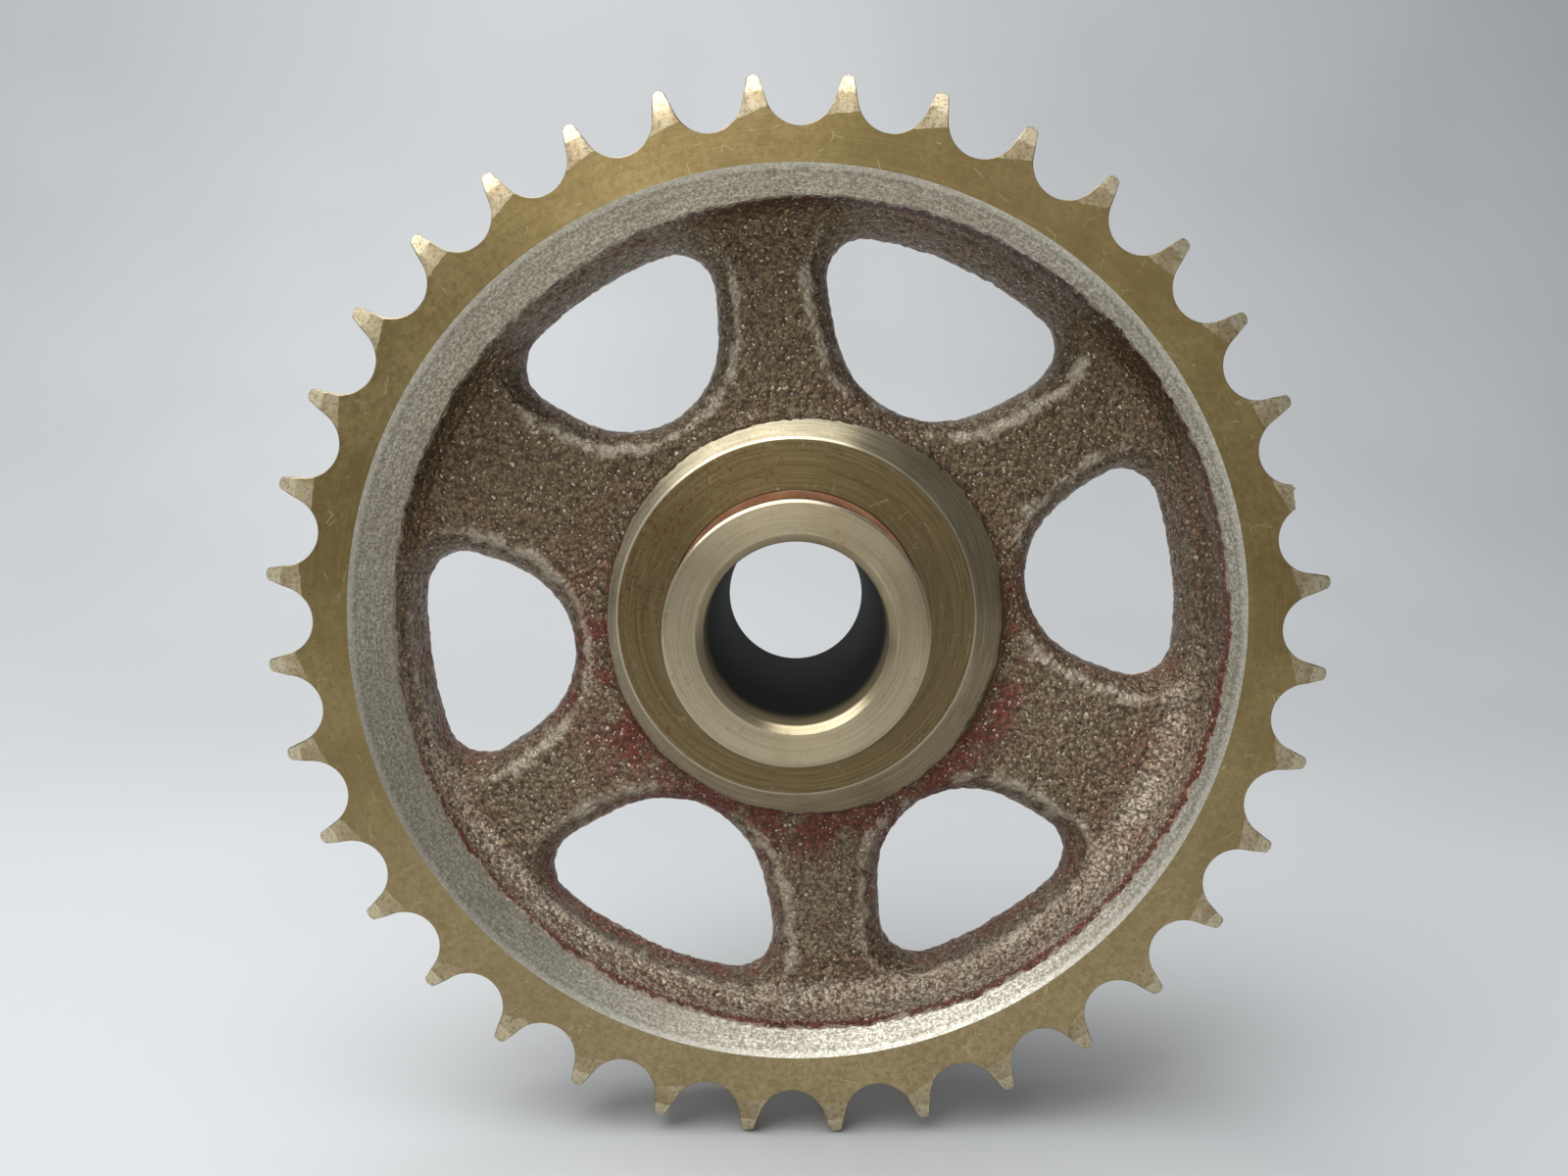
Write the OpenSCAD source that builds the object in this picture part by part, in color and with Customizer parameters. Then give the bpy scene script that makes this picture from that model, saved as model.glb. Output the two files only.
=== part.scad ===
// Chain wheel turning on a hub sleeve: a cast, six-window wheel with one row of
// 36 teeth, two thin bushes pressed in its boss, and the steel sleeve it spins on.
// The wheel's axis is Y. The toothed face is towards -Y. Millimetres.

/* [Chain and teeth] */
// Number of teeth
tooth_count = 36; // [24:1:48]
// Chain pitch
chain_pitch = 9.525; // [8:0.005:12.7]
// Roller diameter of the chain
roller_d = 6.35; // [5:0.05:8.5]
// Depth worn into the bottom of the tooth gaps
seat_wear = 0.22; // [0:0.02:0.6]
// Diameter over the tooth tips
tip_d = 113.8; // [108:0.1:115]
// Rounding of the tooth tips
tip_round = 0.75; // [0.2:0.05:0.75]
// Radius of the roller seat between two teeth
seat_r = 3.65; // [3.2:0.05:3.9]
// Half of the angle the roller seat covers
seat_half_angle = 72; // [60:1:75]
// Width of the teeth along the axis
tooth_w = 5.3; // [4.5:0.1:6]
// Turn of the first tooth gap, counter-clockwise from +X as seen from the front
gap_turn = 9.55; // [0:0.05:10]
// Diameter where the worn side bevel of the teeth begins
bevel_start_d = 105.8; // [103:0.1:108]
// Diameter where the steep tip bevel begins
bevel_step_d = 109.7; // [107:0.1:111]
// Depth of the side bevel at the step
bevel_step_depth = 0.3; // [0:0.05:0.8]
// Depth of the side bevel at the tip
bevel_tip_depth = 1.25; // [0.5:0.05:2]
// Tooth with its tip broken off, counted from the gap turn; -1 leaves it whole
broken_tooth = 0; // [-1:1:35]
// Height that is left of the broken tooth above the gap bottom
broken_height = 2.45; // [1:0.05:4]

/* [Rim and web] */
// Diameter where the flat toothed face meets the turned cone
face_inner_d = 94.9; // [92:0.1:98]
// Depth of the rim from the toothed face to its back edge
rim_depth = 14; // [8:0.5:20]
// Outer diameter of the plain drum behind the teeth
drum_d = 98.6; // [94:0.1:101]
// Diameter of the cast inner wall of the rim
rim_wall_d = 90.8; // [86:0.1:93]
// Slope of the rim's cast walls
draft = 4; // [1:0.5:8]
// Depth of the web's front below the toothed face, at the rim
web_depth_rim = 7.8; // [5:0.1:10]
// Depth of the web's front below the toothed face, at the boss
web_depth_hub = 9.6; // [7:0.1:12]
// Radius in the corner between web and rim
rim_fillet = 2.8; // [0.5:0.1:3.5]
// Sideways shift of the rough casting against the turned surfaces
cast_shift_x = 1.0; // [0:0.1:2]
// Upward shift of the rough casting against the turned surfaces
cast_shift_z = -0.2; // [-1:0.1:1]

/* [Windows] */
// Turn of the first window, counter-clockwise from +X as seen from the front
window_turn = 7; // [0:0.5:20]
// Angle from the first window to the second
window_step_a = 57.8; // [55:0.1:65]
// Angle from the second window to the third
window_step_b = 57.5; // [55:0.1:65]
// Radius of the windows' outer edge
window_out_r = 43.5; // [40:0.1:44.5]
// Radius of the inner edge of the first and third windows
window_in_r = 26.5; // [25:0.1:30]
// Radius of the inner edge of the wider second window
window_in_r_wide = 25.6; // [25:0.1:30]
// Radius of a window's two outer corners
window_corner_r = 4.4; // [2:0.1:6]
// Radius of the inner end of the first and third windows
window_end_r = 10.4; // [8:0.1:12]
// Radius of the inner end of the wider second window
window_end_r_wide = 11.8; // [8:0.1:13]
// Radius of the bulging sides of a window
window_side_r = 35; // [28:1:60]
// Half angle between the corner centres of the first and third windows
window_half_angle = 11.2; // [9:0.1:15]
// Half angle between the corner centres of the wider second window
window_half_angle_wide = 14.1; // [9:0.1:15]
// Sideways shift of the window cores against the turned surfaces
core_shift_x = 0.4; // [0:0.1:2]

/* [Boss] */
// Depth of the boss's front face below the toothed face
boss_front_depth = 6.5; // [4:0.1:9]
// Length of the boss along the axis
boss_length = 17.8; // [12:0.1:24]
// Diameter of the boss's turned face
boss_face_d = 39.8; // [36:0.1:42]
// Diameter of the rough boss
boss_d = 44.4; // [42:0.1:46]
// Fall of the boss's turned chamfer for each millimetre of radius
boss_chamfer_fall = 0.7; // [0.5:0.05:1]
// Radius in the corner between boss and web
boss_fillet = 1.8; // [0.5:0.1:3]

/* [Sleeve and bushes] */
// Length of the hub sleeve
sleeve_length = 47.6; // [40:0.1:56]
// Distance the sleeve stands out in front of the toothed face
sleeve_front = 8.4; // [5:0.1:12]
// Outer diameter of the hub sleeve
sleeve_d = 26.6; // [24:0.1:28]
// Bore of the hub sleeve
bore_d = 18.3; // [15:0.1:20]
// Chamfer at the mouths of the bore
bore_chamfer = 0.8; // [0.1:0.05:1]
// Chamfer round the outside of the sleeve's ends
sleeve_chamfer = 0.3; // [0.1:0.05:1]
// Diameter of the collar on the sleeve, between the bushes
collar_d = 27.8; // [27:0.1:28.2]
// Width of the collar
collar_w = 1.8; // [1:0.1:3]
// Outer diameter of the bushes, the bore of the boss
bush_d = 28.4; // [27.6:0.1:30]
// Length of one bush
bush_length = 7.6; // [5:0.1:9]
// Radial running clearance between bush and sleeve
running_clearance = 0.03; // [0.01:0.01:0.1]

/* [Hidden] */
$fn = 96;
cut = 1;                                    // how far a cutting shape passes a surface
face_z = tooth_w / 2;                       // toothed face, measured forwards from the teeth
pitch_r = chain_pitch / 2 / sin(180 / tooth_count);
root_r = pitch_r - roller_d / 2 - seat_wear;
tip_r = tip_d / 2;
seat_r0 = root_r + seat_r;                  // radius on which the roller seats' centres lie
gap_angle = 360 / tooth_count;
cone_r = face_inner_d / 2;
wall_r = rim_wall_d / 2;
drum_r = drum_d / 2;
rim_back_z = face_z - rim_depth;
web_rim_z = face_z - web_depth_rim;
web_hub_z = face_z - web_depth_hub;
boss_r = boss_d / 2;
boss_face_r = boss_face_d / 2;
boss_front_z = face_z - boss_front_depth;
boss_back_z = boss_front_z - boss_length;
boss_mid_z = (boss_front_z + boss_back_z) / 2;
stock = 0.8;                                // metal on the boss that facing removes
wall_run = wall_r - (face_z - web_rim_z) * tan(draft);
sleeve_front_z = face_z + sleeve_front;
sleeve_back_z = sleeve_front_z - sleeve_length;
bush_bore_r = sleeve_d / 2 + running_clearance;

// Puts a shape that is drawn round Z, front upwards, round the wheel's Y axis.
module about_y()
{
    rotate([90, 0, 0]) children();
}

// Ring turned from a profile given as radius and height.
module turned(points)
{
    rotate_extrude() polygon(points);
}

// Points from angle a to angle b on an arc round (x, y), in the given number of steps.
function arc(x, y, r, a, b, steps) =
    [for (i = [0:steps]) [x + r * cos(a + (b - a) * i / steps), y + r * sin(a + (b - a) * i / steps)]];

// Half section of the rough casting, radius by height.
module casting_section()
{
    back_r = boss_r + 0.6;                  // foot of the boss at the back
    back_fillet = 2.4;
    edge = 1.3;                             // rounded back edges of drum and boss
    bore = bush_d / 2 - cut;
    polygon(concat(
        [[bore, boss_front_z + stock], [boss_r, boss_front_z + stock]],
        arc(boss_r + boss_fillet, web_hub_z + boss_fillet, boss_fillet, 180, 270, 4),
        arc(wall_run - rim_fillet, web_rim_z + rim_fillet, rim_fillet, 270, 360, 4),
        [[wall_r, face_z], [drum_r, face_z], [drum_r, -face_z]],
        arc(drum_r - 0.3 - edge, rim_back_z + edge, edge, 0, -90, 3),
        arc(back_r + back_fillet, rim_back_z - back_fillet, back_fillet, 90, 180, 4),
        arc(boss_r - 0.2 - edge, boss_back_z + edge, edge, 0, -90, 3),
        [[bore, boss_back_z]]
    ));
}

// Flat outline of one roller gap, open outwards, with the round tips of the teeth beside it.
module gap_outline()
{
    flank_x = seat_r * sin(seat_half_angle);
    flank_y = seat_r0 - seat_r * cos(seat_half_angle);
    crest_y = max(tip_r * cos(gap_angle / 2), flank_y + tip_round + cut);
    round_y = crest_y - tip_round;
    crest_x = flank_x + (round_y - flank_y) / tan(seat_half_angle) + tip_round;
    open_y = crest_y + 2 * cut;
    polygon(concat(
        arc(0, seat_r0, seat_r, seat_half_angle - 90, -90 - seat_half_angle, 10),
        arc(-crest_x, round_y, tip_round, 0, 90, 3),
        [[-crest_x, open_y], [crest_x, open_y]],
        arc(crest_x, round_y, tip_round, 90, 180, 3)
    ));
}

// The same arc without its two end points.
function inner_arc(x, y, r, a, b, steps) =
    [for (i = [1:steps - 1]) [x + r * cos(a + (b - a) * i / steps), y + r * sin(a + (b - a) * i / steps)]];

// Flat outline of one window lying along +X: a round inner end, two round outer corners,
// bulging sides that touch them, and an outer edge concentric with the rim.
module window_outline(half_angle, in_r, end_r)
{
    end_x = in_r + end_r;
    corner = (window_out_r - window_corner_r) * [cos(half_angle), sin(half_angle)];
    reach = norm(corner - [end_x, 0]);
    along = (corner - [end_x, 0]) / reach;
    to_end = window_side_r - end_r;
    to_corner = window_side_r - window_corner_r;
    foot = (to_end * to_end - to_corner * to_corner + reach * reach) / (2 * reach);
    height = sqrt(to_end * to_end - foot * foot);
    side_x = end_x + along[0] * foot + along[1] * height;
    side_y = along[1] * foot - along[0] * height;
    end_a = atan2(-side_y, end_x - side_x);
    corner_a = atan2(corner[1] - side_y, corner[0] - side_x);
    inset = half_angle / 6;
    polygon(concat(
        arc(end_x, 0, end_r, end_a, 360 - end_a, 12),
        inner_arc(side_x, -side_y, window_side_r, -end_a, -corner_a, 5),
        arc(corner[0], -corner[1], window_corner_r, -corner_a, -half_angle, 8),
        arc(0, 0, window_out_r, inset - half_angle, half_angle - inset, 6),
        arc(corner[0], corner[1], window_corner_r, half_angle, corner_a, 8),
        inner_arc(side_x, side_y, window_side_r, corner_a, end_a, 5)
    ));
}

// Six windows, opposite ones alike.
module windows()
{
    turns = [0, window_step_a, window_step_a + window_step_b];
    half_angles = [window_half_angle, window_half_angle_wide, window_half_angle];
    inner_edges = [window_in_r, window_in_r_wide, window_in_r];
    ends = [window_end_r, window_end_r_wide, window_end_r];
    translate([core_shift_x, 0, rim_back_z - 3 * cut])
        for (k = [0:2])
            for (half = [0, 180])
                rotate([0, 0, window_turn + turns[k] + half])
                    linear_extrude(rim_depth + 4 * cut)
                        window_outline(half_angles[k], inner_edges[k], ends[k]);
}

// Disc from which the teeth are cut, with both sides bevelled towards the tips.
module tooth_blank()
{
    bevel_r = bevel_start_d / 2;
    step_r = bevel_step_d / 2;
    turned([
        [wall_r + cast_shift_x, -face_z],
        [bevel_r, -face_z],
        [step_r, bevel_step_depth - face_z],
        [tip_r, bevel_tip_depth - face_z],
        [tip_r, face_z - bevel_tip_depth],
        [step_r, face_z - bevel_step_depth],
        [bevel_r, face_z],
        [wall_r + cast_shift_x, face_z]
    ]);
}

// Everything the lathe takes off: the rim's cone, the boss's faces and its bore.
module turning()
{
    chamfer_out = boss_r + cast_shift_x + 0.2;
    chamfer_low = boss_front_z - (chamfer_out - boss_face_r) * boss_chamfer_fall;
    cone_depth = boss_front_depth - stock;
    bush_r = bush_d / 2;
    turned([
        [0, face_z + cut],
        [cone_r + cut, face_z + cut],
        [cone_r - cone_depth, face_z - cone_depth],
        [0, face_z - cone_depth]
    ]);
    turned([
        [0, boss_front_z],
        [boss_face_r, boss_front_z],
        [chamfer_out, chamfer_low],
        [chamfer_out, face_z],
        [0, face_z]
    ]);
    translate([0, 0, boss_back_z - cut]) cylinder(r = bush_r, h = boss_length + 2 * cut);
}

// Part of the broken tooth that is missing, above a slanting break.
module broken_tip()
{
    slant = 7;                              // the break rises counter-clockwise
    rotate([0, 0, gap_turn + gap_angle * (broken_tooth + 0.5)])
        translate([root_r + broken_height, 0, 0])
            rotate([0, 0, -slant])
                translate([0, -seat_r, -tooth_w]) cube([2 * seat_r, 2 * seat_r, 2 * tooth_w]);
}

// Wheel: rough casting with its tooth row, turned faces, tooth gaps and windows.
module sprocket_wheel()
{
    color([0.36, 0.31, 0.27]) about_y() difference()
    {
        union()
        {
            translate([cast_shift_x, cast_shift_z, 0]) rotate_extrude() casting_section();
            tooth_blank();
        }
        turning();
        windows();
        for (k = [0:tooth_count - 1])
            rotate([0, 0, gap_turn - 90 + gap_angle * k])
                translate([0, 0, -tooth_w / 2 - cut / 2])
                    linear_extrude(tooth_w + cut) gap_outline();
        if (broken_tooth >= 0)
            broken_tip();
    }
}

// One thin bush, its ends at the given heights, pressed in the boss.
module bush(low, high)
{
    edge = 0.15;                            // broken edges of the bush's bore
    color([0.55, 0.36, 0.25]) about_y() turned([
        [bush_bore_r, low + edge],
        [bush_bore_r + edge, low],
        [bush_d / 2, low],
        [bush_d / 2, high],
        [bush_bore_r + edge, high],
        [bush_bore_r, high - edge]
    ]);
}

// Bush flush with the boss's front face.
module front_bush()
{
    bush(boss_front_z - bush_length, boss_front_z);
}

// Bush flush with the boss's rear face.
module rear_bush()
{
    bush(boss_back_z, boss_back_z + bush_length);
}

// Fixed sleeve the wheel turns on; its collar sits between the bushes and locates the wheel.
module hub_sleeve()
{
    out = sleeve_d / 2;
    hole = bore_d / 2;
    color([0.74, 0.71, 0.62]) about_y() turned([
        [hole, sleeve_back_z + bore_chamfer],
        [hole + bore_chamfer, sleeve_back_z],
        [out - sleeve_chamfer, sleeve_back_z],
        [out, sleeve_back_z + sleeve_chamfer],
        [out, boss_mid_z - collar_w / 2],
        [collar_d / 2, boss_mid_z - collar_w / 2],
        [collar_d / 2, boss_mid_z + collar_w / 2],
        [out, boss_mid_z + collar_w / 2],
        [out, sleeve_front_z - sleeve_chamfer],
        [out - sleeve_chamfer, sleeve_front_z],
        [hole + bore_chamfer, sleeve_front_z],
        [hole, sleeve_front_z - bore_chamfer]
    ]);
}

sprocket_wheel();
front_bush();
rear_bush();
hub_sleeve();
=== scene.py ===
"""Chain wheel on its hub sleeve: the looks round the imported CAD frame.

The wheel is made as the real one is: a rough casting first, then the lathe's and the
gear cutter's shapes taken off it, so the cut surfaces run out raggedly on the cast skin.
Shapes are worked out in millimetres in local axes, x to the right, y up and z to the
front, round the wheel's axis, and are then turned into the CAD frame in metres.
"""
import math

import bmesh
import bpy
import numpy as np
from mathutils import Matrix, Vector, noise


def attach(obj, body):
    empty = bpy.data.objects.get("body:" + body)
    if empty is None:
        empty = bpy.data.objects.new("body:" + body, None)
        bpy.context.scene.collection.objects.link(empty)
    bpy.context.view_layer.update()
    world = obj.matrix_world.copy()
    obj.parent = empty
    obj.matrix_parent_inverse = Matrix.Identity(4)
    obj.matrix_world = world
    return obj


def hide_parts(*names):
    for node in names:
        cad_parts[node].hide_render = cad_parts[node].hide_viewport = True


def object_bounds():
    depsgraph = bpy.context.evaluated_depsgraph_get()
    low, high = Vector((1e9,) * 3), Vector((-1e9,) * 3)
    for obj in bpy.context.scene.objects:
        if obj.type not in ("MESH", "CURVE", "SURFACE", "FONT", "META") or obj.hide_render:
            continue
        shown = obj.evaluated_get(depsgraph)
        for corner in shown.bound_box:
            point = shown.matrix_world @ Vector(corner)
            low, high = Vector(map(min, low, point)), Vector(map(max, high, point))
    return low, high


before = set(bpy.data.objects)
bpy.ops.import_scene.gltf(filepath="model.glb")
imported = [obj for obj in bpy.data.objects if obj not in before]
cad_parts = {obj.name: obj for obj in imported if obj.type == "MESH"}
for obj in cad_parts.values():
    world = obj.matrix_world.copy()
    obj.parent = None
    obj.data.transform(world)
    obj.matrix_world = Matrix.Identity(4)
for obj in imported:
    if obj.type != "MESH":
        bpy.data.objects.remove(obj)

cad_low, cad_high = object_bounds()

MM = 0.001

# Tooth row: angles in degrees, lengths in millimetres.
TEETH = 36
PITCH = 360 / TEETH
GAP_TURN = 9.55
BROKEN = 0
BREAK_R = 53.69
FACE_Z = 2.65
ROOT_R, TIP_R = 51.25, 56.9
SEAT_R, SEAT_HALF = 3.65, 72.0
TIP_ROUND = 0.75
BEVEL_R, STEP_R = 52.75, 54.85
BEVEL_PROFILE = ((BEVEL_R, FACE_Z), (STEP_R, 2.35), (56.6, 1.5), (TIP_R, 1.25))

# The rough casting, and how far it lies off the wheel's axis.
CAST_X, CAST_Y = 1.0, -0.2
RIM_BACK = FACE_Z - 14.0
BOSS_FRONT = FACE_Z - 6.5
BOSS_BACK = BOSS_FRONT - 17.8
WEB_DEPTH, HUB_DEPTH, WALL_DRAFT = 7.8, 9.6, 4
WEB_RIM, WEB_HUB = FACE_Z - WEB_DEPTH, FACE_Z - HUB_DEPTH
BOSS_R, BOSS_FILLET = 22.2, 1.8
WALL_R, DRUM_R, SKIRT_R = 45.4, 49.3, 47.9
RIM_FILLET, REAR_FILLET, CAST_EDGE = 2.8, 2.4, 1.3
WALL_RUN = WALL_R - WEB_DEPTH * math.tan(math.radians(WALL_DRAFT))
VOXEL = 0.42

# The windows, in three pairs, and the taper of the sand cores that left them.
WINDOW_TURN = (7.0, 64.8, 122.3)
WINDOW_OUT, WINDOW_CORNER, WINDOW_SIDE = 43.5, 4.4, 35.0
WINDOW_HALF = (11.2, 14.1, 11.2)
WINDOW_IN = (26.5, 25.6, 26.5)
WINDOW_END = (10.4, 11.8, 10.4)
CORE_X = 0.4
FLARE, FLARE_OUT, FLARE_X, FLARE_Y = 2.3, 44.0, 0.8, 0.3
BACK_ROUND = 1.1
BEHIND = -16.0

# Turned surfaces, and the sleeve with its bushes.
CONE_R, CONE_IN, CONE_DEPTH, WEAR_EDGE = 47.45, 41.75, 5.7, 0.12
BOSS_FACE_R, BOSS_SLOPE, BOSS_CLEAR = 19.9, 0.7, 23.5
BUSH_R, BUSH_IN, BUSH_LONG, BORE_CHAMFER = 14.2, 13.33, 7.6, 0.25
SLEEVE_R, SLEEVE_BORE, COLLAR_R = 13.3, 9.15, 13.9
SLEEVE_FRONT = FACE_Z + 8.4
SLEEVE_BACK = SLEEVE_FRONT - 47.6
STEPS, TURNED_STEPS = 720, 256
ABOVE = 4.0

# ---------------------------------------------------------------- mesh helpers


def new_object(name, verts, faces, material=None):
    mesh = bpy.data.meshes.new(name)
    mesh.from_pydata([tuple(v) for v in verts], [], faces)
    mesh.validate()
    obj = bpy.data.objects.new(name, mesh)
    bpy.context.scene.collection.objects.link(obj)
    if material is not None:
        mesh.materials.append(material)
    bm = bmesh.new()
    bm.from_mesh(mesh)
    bmesh.ops.recalc_face_normals(bm, faces=bm.faces)
    bm.to_mesh(mesh)
    bm.free()
    return obj


def lathe(name, profile, steps, shift=(0.0, 0.0), material=None, slots=None):
    """Closed ring or solid of revolution from (radius, height) points in mm."""
    verts, faces, face_slot = [], [], []
    count = len(profile)
    on_axis = [r < 1e-6 for r, _ in profile]
    index = []
    for k, (r, z) in enumerate(profile):
        if on_axis[k]:
            index.append([len(verts)] * steps)
            verts.append((shift[0], shift[1], z))
        else:
            index.append(list(range(len(verts), len(verts) + steps)))
            for s in range(steps):
                a = 2 * math.pi * s / steps
                verts.append((shift[0] + r * math.cos(a), shift[1] + r * math.sin(a), z))
    for k in range(count):
        n = (k + 1) % count
        if on_axis[k] and on_axis[n]:
            continue
        for s in range(steps):
            t = (s + 1) % steps
            ring = [index[k][s], index[k][t], index[n][t], index[n][s]]
            face = []
            for i in ring:
                if i not in face:
                    face.append(i)
            faces.append(face)
            face_slot.append(k)
    obj = new_object(name, verts, faces, material)
    if slots is not None:
        for m in slots["materials"]:
            obj.data.materials.append(m)
        for f, k in zip(obj.data.polygons, face_slot):
            f.material_index = slots["of"][k]
    return obj


def prism(name, rings, material=None):
    """Closed solid through rings of points (x, y, z) with the same count each."""
    verts = [p for ring in rings for p in ring]
    n = len(rings[0])
    faces = [list(range(n))[::-1], list(range((len(rings) - 1) * n, len(rings) * n))]
    for k in range(len(rings) - 1):
        for i in range(n):
            j = (i + 1) % n
            faces.append([k * n + i, k * n + j, (k + 1) * n + j, (k + 1) * n + i])
    return new_object(name, verts, faces, material)


def boolean(obj, tool, operation):
    """Cuts or joins the tool, which is used up."""
    mod = obj.modifiers.new("cut", "BOOLEAN")
    mod.operation = operation
    mod.solver = "MANIFOLD"
    mod.object = tool
    mod.material_mode = "TRANSFER"
    apply_modifiers(obj)
    bpy.data.objects.remove(tool)


def apply_modifiers(obj):
    graph = bpy.context.evaluated_depsgraph_get()
    mesh = bpy.data.meshes.new_from_object(obj.evaluated_get(graph))
    old = obj.data
    obj.modifiers.clear()
    obj.data = mesh
    bpy.data.meshes.remove(old)


def arc(x, y, r, a, b, steps):
    """Points round a centre, from angle a to angle b in degrees."""
    return [(x + r * math.cos(math.radians(a + (b - a) * i / steps)),
             y + r * math.sin(math.radians(a + (b - a) * i / steps)))
            for i in range(steps + 1)]


def coords(obj):
    co = np.empty(len(obj.data.vertices) * 3)
    obj.data.vertices.foreach_get("co", co)
    return co.reshape(-1, 3)


def set_coords(obj, co):
    obj.data.vertices.foreach_set("co", np.ascontiguousarray(co).ravel())
    obj.data.update()


def turned_profile(points, radius, steps=3):
    """The same closed profile with its corners rounded."""
    out = []
    n = len(points)
    for i, (r, z) in enumerate(points):
        if r < 1e-6 or not radius.get(i):
            out.append((r, z))
            continue
        p = Vector(points[i - 1]) - Vector((r, z))
        q = Vector(points[(i + 1) % n]) - Vector((r, z))
        e = min(radius[i], p.length * 0.4, q.length * 0.4)
        a, b = Vector((r, z)) + p.normalized() * e, Vector((r, z)) + q.normalized() * e
        for s in range(steps + 1):
            t = s / steps
            c = a * (1 - t) ** 2 + Vector((r, z)) * 2 * t * (1 - t) + b * t * t
            out.append((c.x, c.y))
    return out


# ---------------------------------------------------------------- materials


class Nodes:
    """One material. Its positions and sizes are in metres in the wheel's own frame."""

    def __init__(self, name, metallic=1.0, roughness=0.5):
        self.mat = bpy.data.materials.new(name)
        self.mat.use_nodes = True
        self.tree = self.mat.node_tree
        self.bsdf = next(n for n in self.tree.nodes if n.type == "BSDF_PRINCIPLED")
        self.bsdf.inputs["Metallic"].default_value = metallic
        self.bsdf.inputs["Roughness"].default_value = roughness
        self.coord = self.tree.nodes.new("ShaderNodeTexCoord").outputs["Object"]
        split = self.tree.nodes.new("ShaderNodeSeparateXYZ")
        self.link(self.coord, split.inputs[0])
        self.x, self.y, self.z = (split.outputs[a] for a in "XYZ")
        self.radius = self.math("SQRT", self.math("ADD", self.math("POWER", self.x, 2.0),
                                                  self.math("POWER", self.z, 2.0)))

    def link(self, a, b):
        self.tree.links.new(a, b)

    def noise(self, scale, detail=3.0, rough=0.5, vector=None):
        node = self.tree.nodes.new("ShaderNodeTexNoise")
        node.inputs["Scale"].default_value = scale
        node.inputs["Detail"].default_value = detail
        node.inputs["Roughness"].default_value = rough
        self.link(vector if vector is not None else self.coord, node.inputs["Vector"])
        return node.outputs["Fac"]

    def voronoi(self, scale, feature):
        node = self.tree.nodes.new("ShaderNodeTexVoronoi")
        node.feature = feature
        node.inputs["Scale"].default_value = scale
        self.link(self.coord, node.inputs["Vector"])
        return node.outputs["Distance"]

    def rings(self, per_mm, jitter=0.0):
        """Noise that changes only with the distance from the wheel's axis: turning lines."""
        join = self.tree.nodes.new("ShaderNodeCombineXYZ")
        self.link(self.radius, join.inputs["X"])
        self.link(self.math("MULTIPLY", self.y, 0.7), join.inputs["Y"])
        if jitter:
            wobble = self.noise(jitter, 1.0)
            self.link(self.math("MULTIPLY", wobble, 0.0006), join.inputs["Z"])
        return self.noise(per_mm * 1000.0, 2.0, 0.6, join.outputs[0])

    def scratches(self, scale, thin, mask_scale):
        """Short thin scratches in all directions."""
        line = self.span(self.voronoi(scale, "DISTANCE_TO_EDGE"), 0.0, thin, 1.0, 0.0)
        return self.math("MULTIPLY", line, self.span(self.noise(mask_scale, 2.0), 0.6, 0.64))

    def math(self, op, a, b=None, clamp=False):
        node = self.tree.nodes.new("ShaderNodeMath")
        node.operation = op
        node.use_clamp = clamp
        for i, v in enumerate((a, b)):
            if v is None:
                continue
            if isinstance(v, (int, float)):
                node.inputs[i].default_value = v
            else:
                self.link(v, node.inputs[i])
        return node.outputs[0]

    def span(self, value, low, high, to_low=0.0, to_high=1.0):
        """Smooth step from to_low, where value is low, to to_high, where it is high."""
        node = self.tree.nodes.new("ShaderNodeMapRange")
        node.interpolation_type = "SMOOTHSTEP"
        node.inputs["From Min"].default_value = low
        node.inputs["From Max"].default_value = high
        node.inputs["To Min"].default_value = to_low
        node.inputs["To Max"].default_value = to_high
        self.link(value, node.inputs["Value"])
        return node.outputs["Result"]

    def mix(self, factor, a, b):
        node = self.tree.nodes.new("ShaderNodeMix")
        node.data_type = "RGBA"
        sockets = [s for s in node.inputs if s.enabled]
        for s, v in zip(sockets, (factor, a, b)):
            if isinstance(v, (int, float)):
                s.default_value = v
            elif isinstance(v, tuple):
                s.default_value = (*v, 1.0)
            else:
                self.link(v, s)
        return next(s for s in node.outputs if s.enabled)

    def attribute(self, name):
        node = self.tree.nodes.new("ShaderNodeAttribute")
        node.attribute_name = name
        return node.outputs["Fac"]

    def bump(self, height, strength, distance):
        node = self.tree.nodes.new("ShaderNodeBump")
        node.inputs["Strength"].default_value = strength
        node.inputs["Distance"].default_value = distance
        self.link(height, node.inputs["Height"])
        if self.bsdf.inputs["Normal"].is_linked:
            self.link(self.bsdf.inputs["Normal"].links[0].from_socket, node.inputs["Normal"])
        self.link(node.outputs["Normal"], self.bsdf.inputs["Normal"])

    def brushed(self, amount):
        """Turned metal: highlights spread across the circular tool marks."""
        self.bsdf.inputs["Anisotropic"].default_value = amount
        self.bsdf.inputs["Anisotropic Rotation"].default_value = 0.25
        tangent = self.tree.nodes.new("ShaderNodeTangent")
        tangent.direction_type = "RADIAL"
        tangent.axis = "Y"
        self.link(tangent.outputs["Tangent"], self.bsdf.inputs["Tangent"])

    def colour(self, socket):
        self.link(socket, self.bsdf.inputs["Base Color"])

    def rough(self, socket):
        self.link(socket, self.bsdf.inputs["Roughness"])


def linear(*rgb):
    """Linear colour from 8-bit screen values."""
    return tuple((c / 255 / 12.92) if c / 255 <= 0.04045 else ((c / 255 + 0.055) / 1.055) ** 2.4
                 for c in rgb)


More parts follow.
